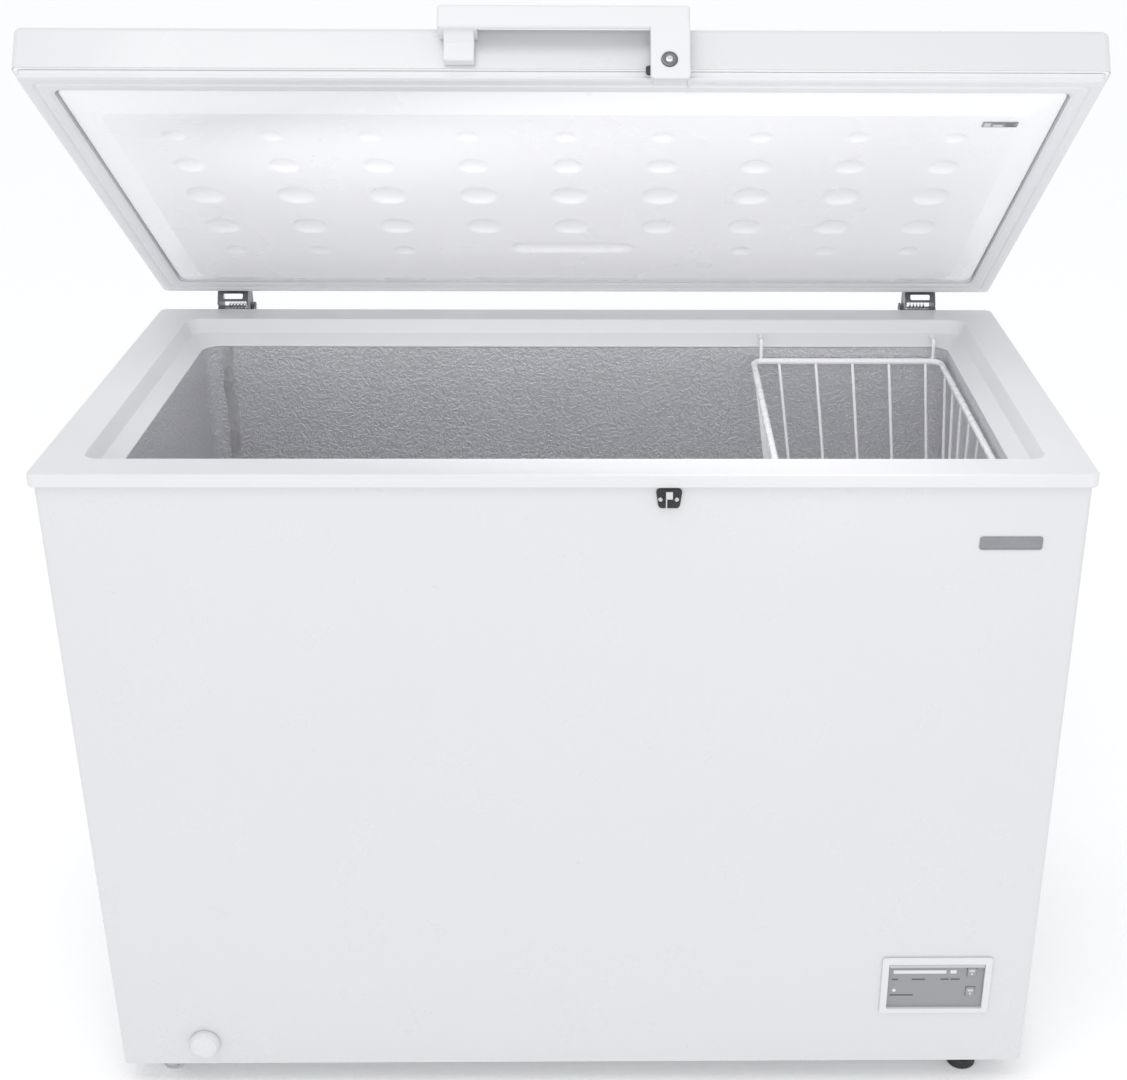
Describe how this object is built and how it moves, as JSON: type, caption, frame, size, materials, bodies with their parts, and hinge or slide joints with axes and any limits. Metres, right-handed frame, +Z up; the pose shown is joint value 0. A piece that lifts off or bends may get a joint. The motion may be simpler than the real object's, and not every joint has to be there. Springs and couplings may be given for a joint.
{
  "type": "chest freezer",
  "caption": "Chest freezer with a top-hinged insulated lid, bar handle with lock, hanging wire basket, stepped metal tank, front drain, control panel and a cooling unit in a side bay.",
  "frame": {"origin": "on the floor under the middle of the whole object's box, with the lid part open", "axes": "+Z up, front with the handle and controls faces -Y, hinges at +Y, +X to the right seen from the front"},
  "size_m": [1.094, 0.6351, 1.2379],
  "materials": {
    "white_sheet": "satin",
    "back_sheet": "satin",
    "white_plastic": "satin",
    "grille_plastic": "matte",
    "grey_plastic": "matte",
    "button_plastic": "matte",
    "lamp_plastic": "gloss",
    "badge_metal": "satin",
    "foam": "matte",
    "tank_metal": "stucco embossed",
    "galvanised_steel": "satin",
    "hinge_steel": "satin",
    "bright_steel": "polished",
    "black_steel": "satin",
    "black_plastic": "matte",
    "black_rubber": "matte",
    "gasket_rubber": "matte",
    "copper": "satin",
    "coated_wire": "gloss"
  },
  "bodies": {
    "cabinet": {"back_panel": "back_sheet", "badge_plate": "badge_metal", "bottom_panel": "galvanised_steel", "cabinet_foam": "foam", "compartment_divider": "galvanised_steel", "compressor_base": "black_steel", "compressor_grommet_1": "black_rubber", "compressor_grommet_2": "black_rubber", "compressor_grommet_3": "black_rubber", "compressor_grommet_4": "black_rubber", "compressor_shell": "black_steel", "compressor_tray": "galvanised_steel", "condenser_coil": "galvanised_steel", "control_fascia": "grey_plastic", "control_housing": "white_plastic", "cord_gland": "black_rubber", "discharge_tube": "copper", "drain_tube": "grille_plastic", "evaporator_coil": "galvanised_steel", "filter_drier": "copper", "hinge_base_left": "hinge_steel", "hinge_base_right": "hinge_steel", "hinge_pin_left": "bright_steel", "hinge_pin_right": "bright_steel", "hinge_spring_left": "bright_steel", "hinge_spring_right": "bright_steel", "indicator_light": "lamp_plastic", "inner_tank": "tank_metal", "keeper_plate": "black_steel", "keeper_screw_left": "bright_steel", "keeper_screw_right": "bright_steel", "keeper_tongue": "bright_steel", "outer_case": "white_sheet", "rear_cover": "galvanised_steel", "roller_bracket_front": "galvanised_steel", "roller_bracket_rear": "galvanised_steel", "start_relay": "black_plastic", "suction_tube": "copper", "top_collar": "white_plastic", "vent_grille": "grille_plastic"},
    "lid": {"lid_skin": "white_sheet", "lid_foam": "foam", "lid_liner": "white_plastic", "lid_gasket": "gasket_rubber", "lid_handle": "white_plastic", "lid_data_plate": "grey_plastic", "hinge_arm_left": "hinge_steel", "hinge_arm_right": "hinge_steel"},
    "lock": {"lock_barrel": "bright_steel", "lock_cam": "black_steel"},
    "basket": {"wire_basket": "coated_wire"},
    "drain_spout": {"drain_spout": "white_plastic"},
    "drain_cap": {"drain_cap": "white_plastic"},
    "drain_plug": {"drain_plug": "grey_plastic"},
    "button_upper": {"button_upper": "button_plastic"},
    "button_lower": {"button_lower": "button_plastic"},
    "roller_front": {"roller_front": "grey_plastic"},
    "roller_rear": {"roller_rear": "grey_plastic"},
    "foot_front": {"levelling_foot_front": "black_rubber"},
    "foot_rear": {"levelling_foot_rear": "black_rubber"}
  },
  "joints": [
    {"name": "lid_hinge", "type": "hinge", "parent": "cabinet", "child": "lid", "pos_m": [0, 0.306, 0.792], "axis": [-1, 0, 0], "range_deg": [-37.35, 42]},
    {"name": "lock_turn", "type": "hinge", "parent": "lid", "child": "lock", "pos_m": [0.1045, -0.1742, 1.17484], "axis": [0, -0.7949, 0.6067], "range_deg": [0, 90]},
    {"name": "basket_slide", "type": "slide", "parent": "cabinet", "child": "basket", "axis": [1, 0, 0], "range_m": [-0.68, 0]},
    {"name": "drain_spout_slide", "type": "slide", "parent": "cabinet", "child": "drain_spout", "axis": [0, -1, 0], "range_m": [0, 0.02]},
    {"name": "drain_cap_turn", "type": "hinge", "parent": "drain_spout", "child": "drain_cap", "pos_m": [-0.441, -0.303, 0.0665], "axis": [0, -1, 0], "range_deg": [0, 180]},
    {"name": "drain_plug_lift", "type": "slide", "parent": "cabinet", "child": "drain_plug", "axis": [0, 0, 1], "range_m": [0, 0.04]},
    {"name": "button_upper_press", "type": "slide", "parent": "cabinet", "child": "button_upper", "axis": [0, 1, 0], "range_m": [0, 0.001], "stiffness_N_per_m": 200},
    {"name": "button_lower_press", "type": "slide", "parent": "cabinet", "child": "button_lower", "axis": [0, 1, 0], "range_m": [0, 0.001], "stiffness_N_per_m": 200},
    {"name": "roller_front_spin", "type": "hinge", "parent": "cabinet", "child": "roller_front", "pos_m": [-0.4925, -0.264, 0.0135], "axis": [0, 1, 0], "continuous": true},
    {"name": "roller_rear_spin", "type": "hinge", "parent": "cabinet", "child": "roller_rear", "pos_m": [-0.4925, 0.224, 0.0135], "axis": [0, 1, 0], "continuous": true},
    {"name": "foot_front_turn", "type": "hinge", "parent": "cabinet", "child": "foot_front", "pos_m": [0.478, -0.264, 0], "axis": [0, 0, 1], "continuous": true},
    {"name": "foot_rear_turn", "type": "hinge", "parent": "cabinet", "child": "foot_rear", "pos_m": [0.478, 0.224, 0], "axis": [0, 0, 1], "continuous": true}
  ]
}
